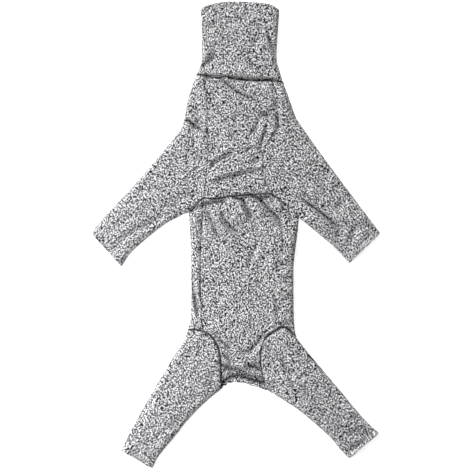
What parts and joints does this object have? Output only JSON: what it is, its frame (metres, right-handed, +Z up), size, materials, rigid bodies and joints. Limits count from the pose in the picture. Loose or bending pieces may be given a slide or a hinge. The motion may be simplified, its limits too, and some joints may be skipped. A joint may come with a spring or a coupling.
{
  "type": "dog recovery suit",
  "caption": "Full-body dog recovery suit of stretch knit with a tall collar, front-leg sleeves and hind-leg sleeves, laid flat belly up.",
  "frame": {"origin": "under the middle of the suit's flat outline, on the surface it lies on", "axes": "+Z up from the surface, through the lower layer to the upper (belly) layer; +Y from tail to neck; +X to the right of someone looking down with the neck away from them"},
  "size_m": [0.3774, 0.6067, 0.0124],
  "materials": {
    "marl_knit": "brushed grey marl stretch knit, matt"
  },
  "bodies": {
    "root": {"collar": "marl_knit", "chest_panel": "marl_knit", "belly_panel": "marl_knit", "back_panel": "marl_knit", "sleeve_left": "marl_knit", "sleeve_right": "marl_knit", "leg_left": "marl_knit", "leg_right": "marl_knit"}
  },
  "joints": []
}
